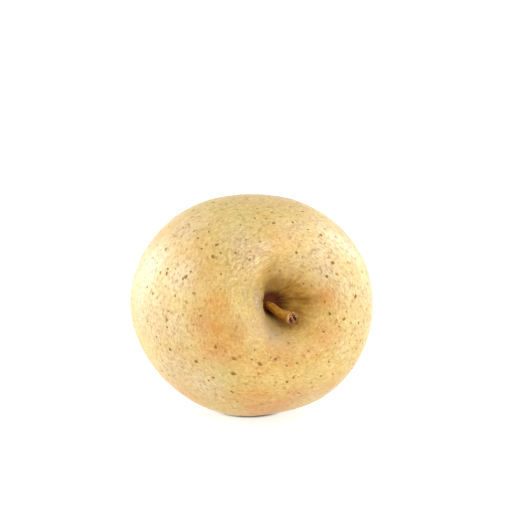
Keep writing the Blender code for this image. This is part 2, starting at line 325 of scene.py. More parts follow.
def new_piece(name, grid, material, traits):
    """A piece of closed tubes, or of one, given in own millimetres. Its traits are spread over
    the grid and become vertex attributes of three numbers. It rides on the frame's one body."""
    grid = grid.reshape(-1, *grid.shape[-3:])
    points = lie_down(grid_vertices(grid))
    quads, triangles = grid_faces(*grid.shape[:3])
    corners = np.concatenate((quads.ravel(), triangles.ravel()))
    triangle_starts = quads.size + 3 * np.arange(len(triangles))
    starts = np.concatenate((4 * np.arange(len(quads)), triangle_starts))
    mesh = bpy.data.meshes.new(name)
    mesh.vertices.add(len(points))
    mesh.vertices.foreach_set("co", points.astype(np.float32).ravel())
    mesh.loops.add(len(corners))
    mesh.loops.foreach_set("vertex_index", corners.astype(np.int32))
    mesh.polygons.add(len(starts))
    mesh.polygons.foreach_set("loop_start", starts.astype(np.int32))
    mesh.update(calc_edges=True)
    mesh.shade_smooth()
    for trait, values in traits.items():
        layer = mesh.attributes.new(trait, "FLOAT_VECTOR", "POINT")
        spread = grid_vertices(np.broadcast_to(values, grid.shape))
        layer.data.foreach_set("vector", spread.astype(np.float32).ravel())
    mesh.materials.append(material)
    piece = new_object(name, mesh)
    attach(piece, "root")
    return piece


# Shader maths


class Value:
    """A shader number. Python's signs on it add Math nodes, so 1 - mask is written as that."""

    def __init__(self, recipe, socket):
        self.recipe = recipe
        self.socket = socket

    def maths(self, operation, *values):
        """A Math node on the values."""
        return self.recipe.add("ShaderNodeMath", {"operation": operation}, *values)

    def __add__(self, other):
        return self.maths("ADD", self, other)

    def __sub__(self, other):
        return self.maths("SUBTRACT", self, other)

    def __rsub__(self, other):
        return self.maths("SUBTRACT", other, self)

    def __mul__(self, other):
        return self.maths("MULTIPLY", self, other)

    def __abs__(self):
        return self.maths("ABSOLUTE", self)

    __radd__ = __add__
    __rmul__ = __mul__

    def step(self, low, high):
        """0 at low, 1 at high, with a smooth step between them."""
        settings = {"interpolation_type": "SMOOTHSTEP"}
        values = {"Value": self, "From Min": low, "From Max": high}
        return self.recipe.add("ShaderNodeMapRange", settings, **values)


class Recipe:
    """One material's nodes. Every node comes from add, which takes its type, its settings,
    which are set first, and the values or links of its sockets, by order or by name."""

    def __init__(self, name, roughness, **constants):
        self.material = bpy.data.materials.new(name)
        self.material.use_nodes = True
        self.tree = self.material.node_tree
        self.shader = self.tree.nodes["Principled BSDF"]
        self.fill(self.shader, {"Roughness": roughness, **constants})

    def fill(self, node, sockets):
        """Sets or links a node's sockets, named or counted among those that are in use."""
        shown = [socket for socket in node.inputs if socket.enabled]
        for key, value in sockets.items():
            named = [socket for socket in shown if socket.name == key]
            target = shown[key] if isinstance(key, int) else named[0]
            if isinstance(value, Value):
                self.tree.links.new(value.socket, target)
            else:
                target.default_value = value

    def add(self, kind, settings, *in_order, output=None, **by_name):
        """A new node. It stands for its first output, or for the one named."""
        node = self.tree.nodes.new(kind)
        for key, value in settings.items():
            setattr(node, key, value)
        self.fill(node, {**dict(enumerate(in_order)), **by_name})
        shown = [socket for socket in node.outputs if socket.enabled]
        found = [socket for socket in shown if output in (None, socket.name)]
        return Value(self, found[0])

    def trait(self, name):
        """A vertex attribute, as a vector."""
        return self.add("ShaderNodeAttribute", {"attribute_name": name}, output="Vector")

    def parts(self, vector):
        """The three numbers of a vector."""
        return [self.add("ShaderNodeSeparateXYZ", {}, vector, output=axis) for axis in "XYZ"]

    def vector(self, x, y, z):
        """A vector of three numbers."""
        return self.add("ShaderNodeCombineXYZ", {}, x, y, z)

    def noise(self, place, size, detail=2.0, roughness=0.5, distortion=0.0):
        """Noise from 0 to 1 with features about `size` apart, in the units of place."""
        values = {"Scale": 1 / size, "Detail": detail, "Roughness": roughness}
        return self.add(
            "ShaderNodeTexNoise", {}, Vector=place, Distortion=distortion, output="Fac", **values
        )

    def cells(self, place, size):
        """How far the nearest of random points about `size` apart is, as a share of that size."""
        return self.add("ShaderNodeTexVoronoi", {}, Vector=place, Scale=1 / size)

    def mix(self, factor, first, second):
        """A colour between two colours."""
        settings = {"data_type": "RGBA", "clamp_factor": True}
        return self.add("ShaderNodeMix", settings, factor, first, second)

    def coats(self, colour, *coats):
        """A colour with others laid over it in turn, each given as its mask and its colour."""
        for mask, coat in coats:
            colour = self.mix(mask, colour, coat)
        return colour

    def bump(self, height, distance, strength):
        """A normal from a height between 0 and 1, where 1 stands `distance` metres proud."""
        return self.add("ShaderNodeBump", {}, Height=height, Distance=distance, Strength=strength)

    def finish(self, **sockets):
        """Fills the shader's sockets, with _ for the spaces in their names."""
        self.fill(self.shader, {key.replace("_", " "): value for key, value in sockets.items()})
        return self.material


# The skin

SKIN_COLUMNS = 420
SKIN_ROWS_CAVITY = 62
SKIN_ROWS_REST = 170
CAVITY_WAY = 24.0

# Broad hills, shallow dents and a pebbled grain: height and size in mm, and the draw's seed
SKIN_RELIEF = ((0.16, 15, 1), (0.06, 6, 2), (0.035, 2.4, 3))

# Where the relief fades out, in mm from the two floors
CALM_AT_STEM = 10
CALM_AT_CALYX = 6

# Steps round and along that give the form's slope, in radians and mm
SLOPE_TURN = 0.001
SLOPE_WAY = 0.1

# Folds in the wall of the stem cavity: direction in degrees, depth in mm (a ridge where it is
# below 0) and half-width in degrees
CAVITY_FOLDS = (
    (4, 0.50, 8),
    (30, -0.30, 12),
    (55, 0.22, 7),
    (78, -0.15, 9),
    (122, 1.70, 26),
    (168, 0.30, 6),
    (205, -0.15, 9),
    (236, 0.25, 7),
    (268, -0.16, 9),
    (300, 0.22, 8),
    (334, -0.20, 9),
)

# How far the folds wander, in radians, with the size in mm and the seed, and finer pleats
FOLD_WANDER = ((0.12, 7, 4),)
PLEAT_COUNT = 31
PLEAT_DEPTH = 0.05

# Ways between which a form or a colour grows from nothing to full, in mm
FOLDS_GROW = (3, 9)
FOLDS_FADE = (27, 14)
PLEATS_GROW = (4, 9)
PLEATS_FADE = (22, 12)
THROAT_WAYS = (10, 3)
HOLLOW_WAYS = (26, 13)
RINGLESS_WAYS = (62, 86)
BASIN_WAYS = (WHOLE_WAY - 22, WHOLE_WAY - 4)

# The sides of the stem cavity that are russeted and that have painted shade in their creases, and
# the depth in mm of a crease whose painted shade is full
RUSSET_SIDE_DEG = 20
RUSSET_SIDE_POWER = 0.8
SHADED_CREASE_SIDE_DEG = 0
FULL_CREASE = 0.6

# Patches on the skin: direction in degrees, way along in mm, spread in mm and strength
ORANGE_PATCHES = (
    (178, 34, 5.5, 1.0),
    (192, 35, 6.0, 1.0),
    (156, 40, 5.0, 0.6),
    (146, 47, 6.5, 0.35),
    (206, 37, 6.0, 0.9),
    (97, 33, 6.0, 0.5),
    (118, 36, 4.0, 0.2),
    (5, 23, 5.0, 1.0),
    (318, 26, 5.5, 0.9),
    (262, 50, 9.0, 0.8),
    (300, 46, 6.0, 0.7),
    (240, 33, 5.0, 0.5),
    (201, 30, 5.0, 1.0),
    (214, 32, 4.5, 0.6),
    (222, 36, 6.0, 0.8),
    (252, 24, 5.0, 0.7),
    (268, 25, 6.0, 0.9),
    (289, 27, 6.0, 0.85),
    (250, 46, 8.0, 0.9),
    (245, 54, 9.0, 0.3),
    (265, 56, 9.0, 1.0),
    (228, 68, 9.0, 0.7),
    (276, 42, 7.0, 0.6),
    (268, 50, 8.0, 1.0),
    (256, 51, 7.0, 1.0),
    (254, 43, 5.0, 1.0),
    (28, 24, 4.0, 0.4),
    (60, 84, 12.0, 0.6),
    (330, 78, 12.0, 0.6),
    (120, 98, 12.0, 0.5),
    (215, 92, 14.0, 0.5),
)
GREEN_PATCHES = (
    (116, 41, 6.5, 0.9),
    (108, 52, 8.0, 0.8),
    (226, 44, 7.0, 1.0),
    (226, 56, 7.0, 0.5),
    (240, 57, 6.0, 0.7),
    (162, 24, 6.0, 1.0),
    (150, 27, 6.0, 0.3),
    (176, 26, 4.0, 0.8),
    (198, 24, 4.5, 0.6),
    (282, 34, 7.0, 0.6),
    (90, 50, 9.0, 0.6),
    (320, 40, 8.0, 0.5),
    (104, 60, 9.0, 1.0),
    (84, 60, 9.0, 1.0),
    (118, 66, 9.0, 0.8),
    (92, 72, 10.0, 1.0),
    (30, 100, 12.0, 0.6),
    (160, 80, 12.0, 0.4),
)
ROSE_PATCHES = (
    (188, 40, 4.5, 1.0),
    (212, 41, 6.0, 0.6),
    (137, 62, 9.0, 0.35),
    (196, 52, 8.0, 0.2),
    (209, 54, 8.0, 0.4),
    (204, 29, 5.0, 0.3),
    (250, 24, 5.0, 0.4),
    (95, 62, 9.0, 0.6),
    (280, 43, 6.0, 0.7),
    (80, 57, 8.0, 0.6),
    (232, 20, 5.0, 0.4),
    (10, 66, 10.0, 0.4),
    (170, 67, 6.0, 1.0),
)
# Painted highlights: pale tints where the soft boxes light the cheeks and rims most
PAINTED_HIGHLIGHT_PATCHES = (
    (156, 62, 8.0, 1.0),
    (158, 74, 9.0, 1.0),
    (178, 68, 8.0, 0.7),
    (162, 48, 7.0, 1.0),
    (178, 57, 6.0, 0.8),
    (184, 66, 6.0, 1.0),
    (136, 57, 8.0, 0.8),
    (118, 30, 5.0, 0.7),
    (123, 39, 6.0, 0.5),
    (186, 60, 9.0, 0.85),
    (209, 58, 9.0, 0.7),
    (189, 50, 6.0, 0.9),
    (224, 53, 7.0, 0.9),
    (52, 30, 6.0, 1.0),
    (46, 37, 7.0, 1.0),
    (35, 42, 8.0, 1.0),
    (88, 36, 5.0, 0.6),
    (12, 31, 6.0, 0.8),
    (2, 40, 9.0, 0.8),
    (344, 37, 7.0, 0.6),
    (70, 24, 4.0, 0.5),
    (36, 27, 6.0, 1.0),
    (130, 29, 4.5, 0.9),
    (127, 35, 5.0, 0.8),
    (58, 42, 6.0, 0.8),
    (76, 37, 5.0, 0.7),
    (320, 34, 5.0, 0.5),
)

# Grey scaly skin on the lip of the stem cavity
LIP_PATCHES = (
    (168, 17.5, 3.0, 0.9),
    (184, 17.5, 3.0, 1.0),
    (200, 16.0, 2.6, 1.0),
    (206, 20.0, 3.5, 0.5),
    (225, 17.0, 4.0, 1.0),
    (245, 18.5, 4.5, 1.0),
    (262, 20.0, 4.0, 0.6),
    (218, 21.5, 3.5, 0.5),
)

# Smoky grey-brown marks in the cavity and round it, and painted shade, most of it on the cavity's
# upper wall
SMOKY_TINT_AND_SHADE_PATCHES = (
    (130, 15.0, 4.5, 1.0),
    (108, 15.0, 4.5, 1.0),
    (146, 12.5, 3.0, 1.0),
    (112, 20.0, 4.0, 0.6),
    (160, 23.0, 5.0, 0.45),
    (174, 23.0, 4.0, 0.40),
    (172, 17.0, 1.6, 0.9),
    (199, 27.5, 5.0, 0.45),
    (222, 28.0, 4.0, 0.3),
    (168, 19.8, 1.4, 1.0),
    (152, 19.5, 3.0, 0.9),
    (167, 15.5, 2.0, 0.9),
    (178, 16.5, 1.6, 0.9),
    (240, 25.0, 4.5, 0.15),
    (258, 27.0, 4.0, 0.2),
    (85, 20.0, 5.0, 0.3),
)

# Loose pale scales on the lip
FLAKE_PATCHES = (
    (166, 18.0, 2.2, 1.0),
    (180, 18.5, 2.2, 1.0),
    (155, 20.0, 2.0, 0.6),
)

# Fine tan wrinkles beside the cavity
WRINKLE_PATCHES = (
    (140, 32, 7.0, 1.0),
    (120, 28, 5.0, 0.8),
    (158, 30, 5.0, 0.7),
)


def patch_strength(own, patches):
    """Soft round patches on the skin: a bell round each centre, the strongest one taken."""
    total = np.zeros(own.shape[:-1])
    for direction, way, spread, strength in patches:
        centre = fruit_form(np.array(math.radians(direction)), np.array(float(way)))
        gap = np.linalg.norm(own - centre, axis=-1)
        total = np.maximum(total, strength * np.exp(-((gap / spread) ** 2)))
    return total


def fold_depth(own, angle, way):
    """Depth of the folds in the wall of the stem cavity, in mm: bells round their directions,
    which wander a little, deepest half way up the throat and gone at the crest, and fine
    pleats, a cosine of many turns."""
    wander = angle + noise_sum(own, FOLD_WANDER)
    folds = np.zeros(angle.shape)
    for direction, depth, half_width in CAVITY_FOLDS:
        across = turn_from(wander, direction) / math.radians(half_width)
        folds = folds + depth * np.exp(-(across**2))
    folds = folds * smooth_step(*FOLDS_GROW, way) * smooth_step(*FOLDS_FADE, way)
    pleats = -PLEAT_DEPTH * np.cos(PLEAT_COUNT * wander)
    return folds + pleats * smooth_step(*PLEATS_GROW, way) * smooth_step(*PLEATS_FADE, way)


def skin_relief(own, angle, way):
    """How far the skin stands out, in mm: broad hills, shallow dents and a pebbled grain, less
    the folds of the stem cavity. All but the cavity's ridges lies under the plain form."""
    near_calyx = smooth_step(WHOLE_WAY, WHOLE_WAY - CALM_AT_CALYX, way)
    calm = smooth_step(0, CALM_AT_STEM, way) * near_calyx
    greatest = sum(height for height, _, _ in SKIN_RELIEF)
    return (noise_sum(own, SKIN_RELIEF) - greatest) * calm - fold_depth(own, angle, way)


def skin_point(angle, way):
    """A point of the skin and the unit normal of the plain form there. The form is moved out
    along its normal by the relief. Where it would reach below the flat spot it is level."""
    plain = fruit_form(angle, way)
    across = fruit_form(angle + SLOPE_TURN, way) - fruit_form(angle - SLOPE_TURN, way)
    along = fruit_form(angle, way + SLOPE_WAY) - fruit_form(angle, way - SLOPE_WAY)
    normal = unit(np.cross(along, across))
    own = plain + normal * skin_relief(plain, angle, way)[..., None]
    down = lay_flat(np.eye(3))[:, 2]
    sunk = np.minimum(own @ down + RESTING_SHIFT[2], 0)
    return own - sunk[..., None] * down, normal


def build_skin(material):
    """The skin as rings of points from the calyx end to the stem end, closer together in the
    stem cavity, with the strength of each tint, painted highlight and painted shade as a trait."""
    cavity = np.linspace(0, CAVITY_WAY, SKIN_ROWS_CAVITY, endpoint=False)
    rest = np.linspace(CAVITY_WAY, WHOLE_WAY, SKIN_ROWS_REST)
    way = np.concatenate((cavity, rest))[::-1]
    angle, way = np.meshgrid(round_turn(SKIN_COLUMNS), way)
    own, _ = skin_point(angle, way)
    own[[0, -1]] = own[[1, -2]].mean(axis=1, keepdims=True)
    tables = (ORANGE_PATCHES, GREEN_PATCHES, ROSE_PATCHES, PAINTED_HIGHLIGHT_PATCHES)
    orange, green, rose, painted_highlight = [patch_strength(own, table) for table in tables]
    tables = (LIP_PATCHES, SMOKY_TINT_AND_SHADE_PATCHES, FLAKE_PATCHES, WRINKLE_PATCHES)
    lip, smoky_tint_and_shade, flakes, wrinkles = [patch_strength(own, table) for table in tables]
    ringless = smooth_step(*RINGLESS_WAYS, way)
    basin = smooth_step(*BASIN_WAYS, way)
    throat = smooth_step(*THROAT_WAYS, way)
    russet_side = (1 + np.cos(turn_from(angle, RUSSET_SIDE_DEG))) / 2
    hollow = smooth_step(*HOLLOW_WAYS, way) * russet_side**RUSSET_SIDE_POWER
    shaded_crease_side = np.cos(turn_from(angle, SHADED_CREASE_SIDE_DEG)).clip(0, 1)
    crease_shade = np.clip(fold_depth(own, angle, way) / FULL_CREASE, 0, 1) * shaded_crease_side
    traits = {
        "fruit_place": own,
        "skin_flow": round_axis(angle, 1, way),
        "patches": stacked(orange, green, rose),
        "zones": stacked(painted_highlight, ringless, basin),
        "hollow": stacked(throat, hollow, crease_shade),
        "lip": stacked(lip, smoky_tint_and_shade, flakes),
        "wrinkled": stacked(wrinkles, 0, 0),
    }
    skin = new_piece("skin", own, material, traits)
    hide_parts("fruit")


# Colours of the skin
STRAW = linear(205, 178, 106)
WARM_STRAW = linear(197, 162, 78)
DULL_STRAW = linear(184, 151, 80)
ORANGE_TINT = linear(200, 133, 40)
GREEN_TINT = linear(190, 172, 101)
ROSE_TINT = linear(194, 138, 88)
# The pale tint of the painted highlights
PAINTED_HIGHLIGHT_TINT = linear(206, 189, 154)
CREAM = linear(230, 196, 128)
LIGHT_CREAM = linear(236, 206, 142)
PALE_CREAM = linear(240, 214, 158)
PEACH = linear(212, 158, 104)
TAN = linear(152, 108, 46)
ORANGE_TAN = linear(156, 98, 36)
FLAT_DOT_BROWN = linear(134, 98, 44)

# Colours of the stem cavity and the calyx basin
OLIVE = linear(196, 144, 48)
DARK_OLIVE = linear(162, 114, 32)
# Painted shade in the creases of the cavity's wall
CREASE_SHADE_BROWN = linear(130, 78, 18)
# Smoky grey-brown, partly painted shade
SMOKY_TINT_AND_SHADE = linear(142, 104, 52)
ROSY_GREY = linear(172, 144, 112)
GREEN_GREY = linear(164, 144, 102)
# The throat round the stem's root: brown deepened by painted shade
THROAT_SHADE_BROWN = linear(122, 57, 2)
DARK_THROAT_SHADE_BROWN = linear(68, 28, 2)
FLAKE_WHITE = linear(202, 178, 160)
BASIN_RUSSET = linear(140, 104, 48)


def skin_material():
    """Straw-yellow skin with patches of tint and painted highlights under a mottle and a weave of
    paler flecks. Over them lies a net of short tan specks, which runs round the stem end and is
    loose elsewhere, then flat brown dots, the olive and brown russet of the stem cavity, and
    painted shade in its creases, on its upper wall and in its throat. The noises are sized in mm."""
    skin = Recipe("russet_skin", 0.4, **{"Specular IOR Level": 0.38, "Sheen Weight": 0.02})
    place = skin.trait("fruit_place")
    turn_x, turn_y, way = skin.parts(skin.trait("skin_flow"))
    orange, green, rose = skin.parts(skin.trait("patches"))
    painted_highlight, ringless, basin = skin.parts(skin.trait("zones"))
    throat, hollow, crease_shade = skin.parts(skin.trait("hollow"))
    lip, smoky_tint_and_shade, flakes = skin.parts(skin.trait("lip"))
    wrinkled, _, _ = skin.parts(skin.trait("wrinkled"))
    x, y, _ = skin.parts(place)

    # Noises on the skin, and others drawn out round the stem end and down into its cavity
    broad = skin.noise(place, 15, detail=3, roughness=0.55)
    cloud = skin.noise(place, 6, detail=3, roughness=0.6)
    mottle = skin.noise(place, 2.6, detail=2, roughness=0.55)
    grain = skin.noise(place, 0.8, detail=2, roughness=0.65)
    wander = way + skin.noise(place, 4.5, detail=1) * 3.2
    rings = skin.vector(x * 0.45, y * 0.45, wander)
    spots = skin.vector(x * 0.6, y * 0.6, wander)
    rays = skin.vector(turn_x * 8, turn_y * 8, way * 0.25)
    ringed_weave = skin.noise(rings, 0.75, detail=2, roughness=0.5)
    loose_weave = skin.noise(place, 0.9, detail=2, roughness=0.5)
    weave = ringed_weave * (1 - ringless) + loose_weave * ringless
    streak = skin.noise(rays, 1.0, detail=2, roughness=0.6).step(0.35, 0.68)
    crowd = cloud.step(0.32, 0.62)

    # The net of specks and wrinkles, and the flat dots
    ringed_speck = skin.cells(spots, 1.1).step(0.46, 0.12)
    loose_speck = skin.cells(place, 1.4).step(0.46, 0.12)
    speck = ringed_speck * (1 - ringless) + loose_speck * ringless
    wrinkle = abs(skin.noise(rings, 1.7, detail=2, roughness=0.5, distortion=0.3) * 2 - 1)
    wrinkle = wrinkle.step(0.2, 0.02) * wrinkled * 0.52
    net = speck * (0.22 + mottle.step(0.6, 0.38) * 0.2 + painted_highlight * 0.15)
    net = net.maths("MAXIMUM", net, wrinkle)
    flat_dot = skin.cells(place, 3.6).step(0.24, 0.06)

    bleached = 1 - orange * 0.6
    tan = skin.mix(orange, TAN, ORANGE_TAN)
    colour = skin.coats(
        STRAW,
        (broad.step(0.4, 0.62), WARM_STRAW),
        (cloud.step(0.6, 0.42) * 0.3, DULL_STRAW),
        (orange * (0.5 + crowd * 0.5), ORANGE_TINT),
        (green * (0.35 + cloud.step(0.68, 0.35) * 0.65), GREEN_TINT),
        (rose * (0.4 + crowd * 0.5), ROSE_TINT),
        # Painted highlights; the peach mottle, the tan weave and the net are stronger under them
        (painted_highlight * 0.8, PAINTED_HIGHLIGHT_TINT),
        (mottle.step(0.42, 0.66) * bleached * 0.18, CREAM),
        (mottle.step(0.52, 0.36) * painted_highlight * 0.35, PEACH),
        (grain.step(0.45, 0.7) * bleached * 0.4, LIGHT_CREAM),
        (weave.step(0.52, 0.66) * bleached * 0.24, PALE_CREAM),
        (weave.step(0.48, 0.34) * (0.16 + painted_highlight * 0.3), tan),
        (net, tan),
        (flat_dot * 0.5, FLAT_DOT_BROWN),
        (hollow * (0.6 + streak * 0.3), skin.mix(streak, OLIVE, DARK_OLIVE)),
        # Painted shade in the creases of the cavity's wall
        (crease_shade * 0.55, CREASE_SHADE_BROWN),
        # Smoky grey-brown marks and painted shade in and round the cavity
        (smoky_tint_and_shade * (0.5 + crowd * 0.4), SMOKY_TINT_AND_SHADE),
        (lip * 0.8, skin.mix(crowd, ROSY_GREY, GREEN_GREY)),
        # Painted shade: the throat darkened to deep brown
        (throat, skin.mix(streak, THROAT_SHADE_BROWN, DARK_THROAT_SHADE_BROWN)),
        (flakes * grain.step(0.46, 0.6) * 0.6, FLAKE_WHITE),
        (basin * (0.35 + streak * 0.5), BASIN_RUSSET),
    )
    relief = grain * 0.25 - net * 0.6 + flat_dot * 0.5 + streak * hollow * 0.3
    normal = skin.bump(relief, 0.00016, 0.8)
    roughness = 0.36 + net * 0.2 + throat * 0.4
    return skin.finish(Base_Color=colour, Normal=normal, Roughness=roughness)


# The lenticels

GOLDEN_ANGLE = math.pi * (3 - math.sqrt(5))
LENTICEL_SEED = 29
LENTICEL_COUNT = 800
LENTICEL_COLUMNS = 8

# How far the small ones stray from their spiral: in places along it, and round in radians
STRAY_PLACES = 7
STRAY_TURN = 0.06

# The share of them that is kept, the shares of the skin between which they lie, how far they
# stay from the two floors in mm, and the lowest that one lies, in metres
KEPT_SHARE = 0.8
SKIN_SHARES = (0.02, 0.985)
CLEAR_OF_STEM = 15
CLEAR_OF_CALYX = 8
LOWEST_LENTICEL = 0.0008

# Half-width of the smallest and of the largest beyond it, and height with its growth, in mm
SMALLEST_LENTICEL = 0.18
LENTICEL_SPREAD = 0.36
LENTICEL_HEIGHT = 0.05
LENTICEL_HEIGHT_GROWTH = 0.1
LENTICEL_STRETCH = (0.9, 1.4)

# The rings of a dome: share of its radius, and share of its height over the skin
DOME_OUT = (0.0, 1.0, 0.62, 0.0)
DOME_RISE = (-0.5, -0.25, 0.6, 1.0)

# The large ones: direction in degrees, way along and half-width in mm, before a last scaling
LARGE_LENTICEL_SCALE = 1.15
LARGE_LENTICELS = (
    (96, 38.5, 0.75),
    (228, 39.5, 0.80),
    (239, 31.5, 0.80),
    (220, 35.5, 0.75),
    (58, 36.5, 0.65),
    (37, 30.0, 0.65),
    (162, 45.5, 0.70),
    (2, 33.5, 0.65),
    (200, 55.5, 0.60),
    (146, 39.5, 0.70),
    (206, 38.0, 0.65),
    (210, 47.5, 0.70),
    (267, 36.0, 0.65),
    (162, 54.0, 0.60),
    (223, 46.5, 0.60),
    (29, 25.5, 0.60),
    (78, 26.5, 0.60),
    (70, 47.5, 0.60),
    (81, 39.0, 0.60),
    (252, 28.0, 0.70),
    (138, 41.0, 0.60),
    (237, 46.5, 0.55),
    (344, 24.5, 0.60),
    (132, 29.5, 0.55),
    (272, 34.5, 0.55),
    (150, 59.5, 0.55),
    (185, 52.5, 0.50),
    (342, 29.5, 0.55),
)


def build_lenticels(material):
    """Low corky domes on the skin. The small ones are spread evenly over it along a spiral of
    golden angles, then moved aside at random, and some are left out. Each is an oval whose
    outline waves, r = size (1 + 0.2 cos 2p + 0.15 cos 3p), and which stands out of the skin by
    height (1 - r^2), with its rim and its closed underside sunk."""
    draw = np.random.default_rng(LENTICEL_SEED)
    area = np.concatenate(((0.0,), np.cumsum(PROFILE[1:, 0] * np.diff(PROFILE_WAY))))
    number = np.arange(LENTICEL_COUNT)
    stray = draw.uniform(-STRAY_PLACES, STRAY_PLACES, LENTICEL_COUNT)
    share = np.clip((number + stray + 0.5) / LENTICEL_COUNT, *SKIN_SHARES)
    way = np.interp(share, area / area[-1], PROFILE_WAY)
    angle = number * GOLDEN_ANGLE + draw.uniform(-STRAY_TURN, STRAY_TURN, LENTICEL_COUNT)
    size = SMALLEST_LENTICEL + LENTICEL_SPREAD * draw.uniform(0, 1, LENTICEL_COUNT) ** 2
    kept = draw.uniform(0, 1, LENTICEL_COUNT) < KEPT_SHARE
    kept = kept & (way > CLEAR_OF_STEM) & (way < WHOLE_WAY - CLEAR_OF_CALYX)
    kept = kept & (lie_down(fruit_form(angle, way))[:, 2] > LOWEST_LENTICEL)

    large_angle, large_way, large_size = np.array(LARGE_LENTICELS).T
    way = np.concatenate((way[kept], large_way))[:, None, None]
    angle = np.concatenate((angle[kept], np.radians(large_angle)))[:, None, None]
    size = np.concatenate((size[kept], LARGE_LENTICEL_SCALE * large_size))[:, None, None]
    height = LENTICEL_HEIGHT + LENTICEL_HEIGHT_GROWTH * size
    stretch = draw.uniform(*LENTICEL_STRETCH, size.shape)
    phase = draw.uniform(0, 2 * math.pi, (3, *size.shape))

    out = np.array(DOME_OUT)[:, None]
    rise = np.array(DOME_RISE)[:, None]
    around = round_turn(LENTICEL_COLUMNS)
    uneven = 1 + 0.2 * np.cos(2 * around + phase[0]) + 0.15 * np.cos(3 * around + phase[1])
    reach = size * uneven * out
    radius = np.interp(way, PROFILE_WAY, PROFILE[:, 0])
    points, normal = skin_point(
        angle + stretch * reach * np.sin(around) / radius, way + reach * np.cos(around)
    )
    points = points + normal * (height * rise)[..., None]
    tone = 0.5 + 0.5 * np.sin(phase[2])
    new_piece("lenticels", points, material, {"dome": stacked(out, tone, 0)})


def lenticel_material():
    """Brown cork, darkest in the middle, some greener than others."""
    cork = Recipe("lenticel_cork", 0.75)
    out, tone, _ = cork.parts(cork.trait("dome"))
    middle = cork.mix(tone, linear(136, 88, 32), linear(134, 104, 44))
    colour = cork.mix(out.step(0.45, 1.0), middle, linear(200, 160, 88))
    return cork.finish(Base_Color=colour)


# The stem


def stem_path(way):
    """Middle line and girth of the stem for ways from 0 at the root to 1 at the tip: straight
    in its socket, then leaning towards the lower right, and swelling from a slim root to the
    knob."""
    height = stem_floor() - STEM_ROOT_SUNK + (STEM_ROOT_SUNK + STEM_LENGTH) * way
    free = np.clip((height - stem_floor()) / STEM_LENGTH, 0, 1)
    x = STEM_LEAN_SIDE * free**1.2
    y = -STEM_ROOT_DROP - STEM_LEAN_DOWN * np.sin(free * math.pi / 2) ** 1.4
    root = STEM_ROOT_SLIMMING * np.exp(-((way / 0.25) ** 2))
    knob = STEM_KNOB_SWELL * np.exp(-(((way - 0.97) / 0.16) ** 2))
    girth = STEM_MID_RADIUS * (1 - root + knob)
    return stacked(x, y, height), girth


STEM_ROWS = 120
STEM_COLUMNS = 80
STEM_FACE_ROWS = 22

# The bark's forms, in shares of the girth: height, size and seed of each noise. The ridges and
# the ragged tip are read on a tube of this radius and length, the lumps round the stem itself.
BARK_RADIUS = 2.2
BARK_LENGTH = 3.0
BARK_RIDGES = ((0.10, 0.7, 11), (0.05, 0.35, 14))
BARK_LUMPS = ((0.09, 1.6, 12),)
RAGGED_TIP = ((0.14, 0.5, 13),)

# Where the ring scars lie along the stem, with the depth and half-width of all
RING_SCARS = (0.70, 0.77, 0.86)
SCAR_DEPTH = 0.10
SCAR_HALF_WIDTH = 0.010

# The stem's girth: its share at the root, what it gains on the way between these two places,
# the rounded length of the root and the rounding of the rim, all as shares
ROOT_GIRTH = 0.72
GIRTH_GAIN = 0.22
GIRTH_GAINED = (0.15, 0.75)
ROUNDED_ROOT = 0.03
ROUNDED_RIM = 0.10

# The shares of the way from which the bark is ragged, the torn end sinks and the rim is rounded
RAGGED_FROM = 0.93
SINKS_FROM = 0.95
RIM_FROM = 0.985

# The torn end: its slant and the direction in which it sinks most, its roughness, and its pits,
# which are side and up from its middle, radius and depth. Lengths are in mm.
END_SLANT = 0.75
END_SLANT_DEG = 40.0
END_ROUGHNESS = 0.30
END_NOISE = ((END_ROUGHNESS, 0.45, 15),)
PIT_TIGHTNESS = 0.6
PIT_UNEVENNESS = 1.3
END_PITS = ((-0.95, -0.45, 0.9, 0.9), (1.45, 0.1, 0.95, 0.9), (0.3, 1.25, 0.35, 0.5))


